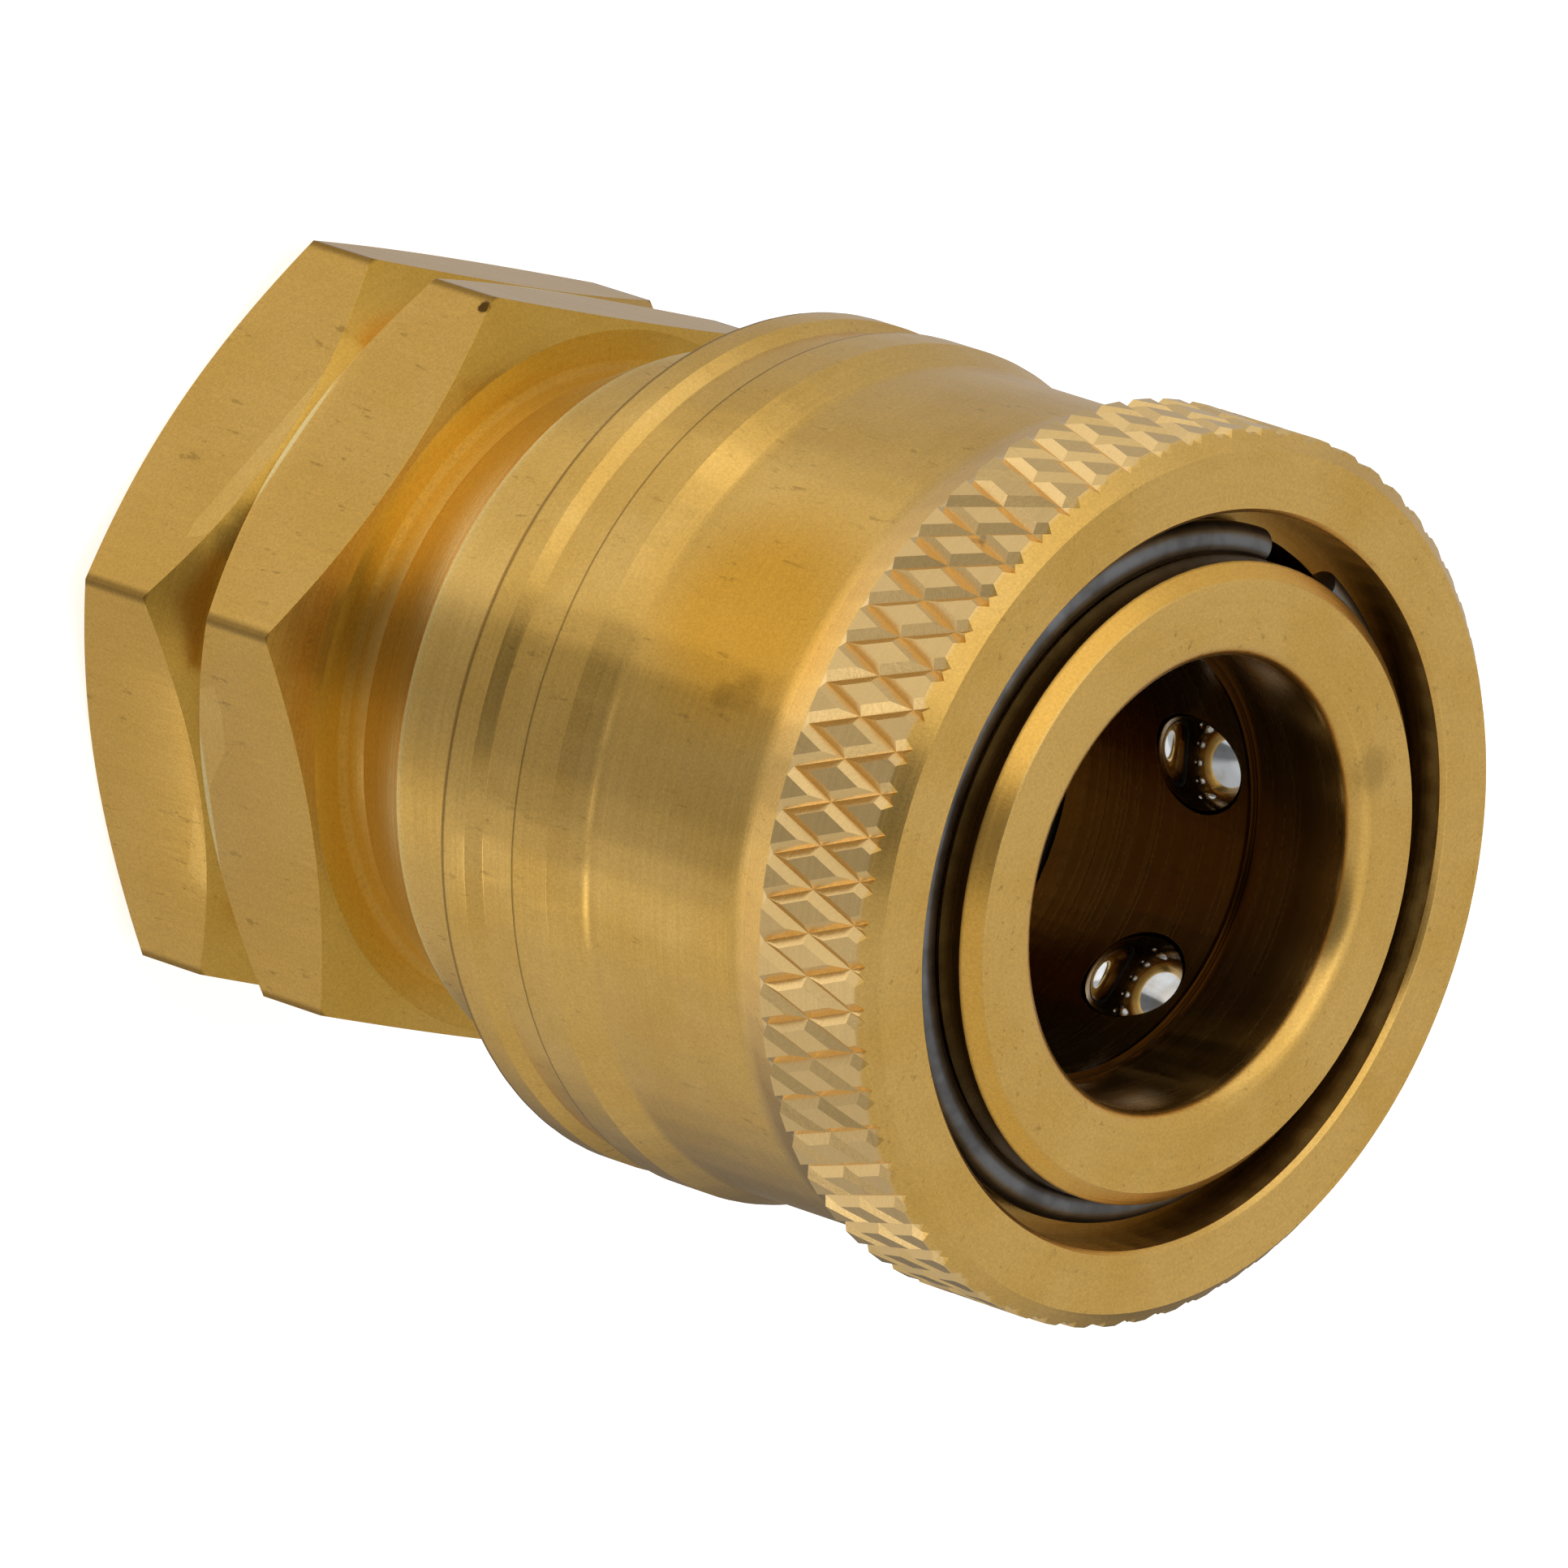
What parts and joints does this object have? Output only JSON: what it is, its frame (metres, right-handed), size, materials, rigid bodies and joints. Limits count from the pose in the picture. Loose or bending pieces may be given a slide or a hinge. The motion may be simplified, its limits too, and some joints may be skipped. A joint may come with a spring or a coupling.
{
  "type": "quick disconnect coupler",
  "caption": "Female quick disconnect coupler for a pressure hose: hexagon body with a tapped port, spring-loaded knurled sleeve and ball lock in a round socket.",
  "frame": {"origin": "centre of the hexagon's rear face, which the coupler stands on", "axes": "+Z along the coupler's axis, from the tapped port to the socket's mouth; +X through a corner of the hexagon"},
  "size_m": [0.0273, 0.0272, 0.0352],
  "materials": {
    "body_brass": "machined from bar, satin, with fine saw and turning marks",
    "sleeve_brass": "turned and diamond knurled, satin",
    "spring_steel": "drawn wire",
    "ring_steel": "drawn wire, dull grey",
    "seal_rubber": "moulded nitrile",
    "ball_steel": "polished stainless"
  },
  "bodies": {
    "body": {"coupler_body": "body_brass", "sleeve_spring": "spring_steel", "retaining_ring": "ring_steel", "socket_seal": "seal_rubber"},
    "sleeve": {"sleeve": "sleeve_brass"},
    "ball_1": {"lock_ball_1": "ball_steel"},
    "ball_2": {"lock_ball_2": "ball_steel"},
    "ball_3": {"lock_ball_3": "ball_steel"},
    "ball_4": {"lock_ball_4": "ball_steel"},
    "ball_5": {"lock_ball_5": "ball_steel"},
    "ball_6": {"lock_ball_6": "ball_steel"}
  },
  "joints": [
    {"name": "sleeve_slide", "type": "slide", "parent": "body", "child": "sleeve", "axis": [0, 0, -1], "range_m": [0, 0.0052], "stiffness_N_per_m": 1500, "springref_m": -0.004, "deforming": ["sleeve_spring"]},
    {"name": "ball_1_slide", "type": "slide", "parent": "body", "child": "ball_1", "axis": [0.9063, 0.4226, 0], "range_m": [0, 0.00084]},
    {"name": "ball_2_slide", "type": "slide", "parent": "body", "child": "ball_2", "axis": [0.0872, 0.9962, 0], "range_m": [0, 0.00084]},
    {"name": "ball_3_slide", "type": "slide", "parent": "body", "child": "ball_3", "axis": [-0.8192, 0.5736, 0], "range_m": [0, 0.00084]},
    {"name": "ball_4_slide", "type": "slide", "parent": "body", "child": "ball_4", "axis": [-0.9063, -0.4226, 0], "range_m": [0, 0.00084]},
    {"name": "ball_5_slide", "type": "slide", "parent": "body", "child": "ball_5", "axis": [-0.0872, -0.9962, 0], "range_m": [0, 0.00084]},
    {"name": "ball_6_slide", "type": "slide", "parent": "body", "child": "ball_6", "axis": [0.8192, -0.5736, 0], "range_m": [0, 0.00084]}
  ],
  "couplings": [
    {"joint": "ball_1_slide", "follows": "sleeve_slide", "ratio": 0.16},
    {"joint": "ball_2_slide", "follows": "sleeve_slide", "ratio": 0.16},
    {"joint": "ball_3_slide", "follows": "sleeve_slide", "ratio": 0.16},
    {"joint": "ball_4_slide", "follows": "sleeve_slide", "ratio": 0.16},
    {"joint": "ball_5_slide", "follows": "sleeve_slide", "ratio": 0.16},
    {"joint": "ball_6_slide", "follows": "sleeve_slide", "ratio": 0.16}
  ]
}
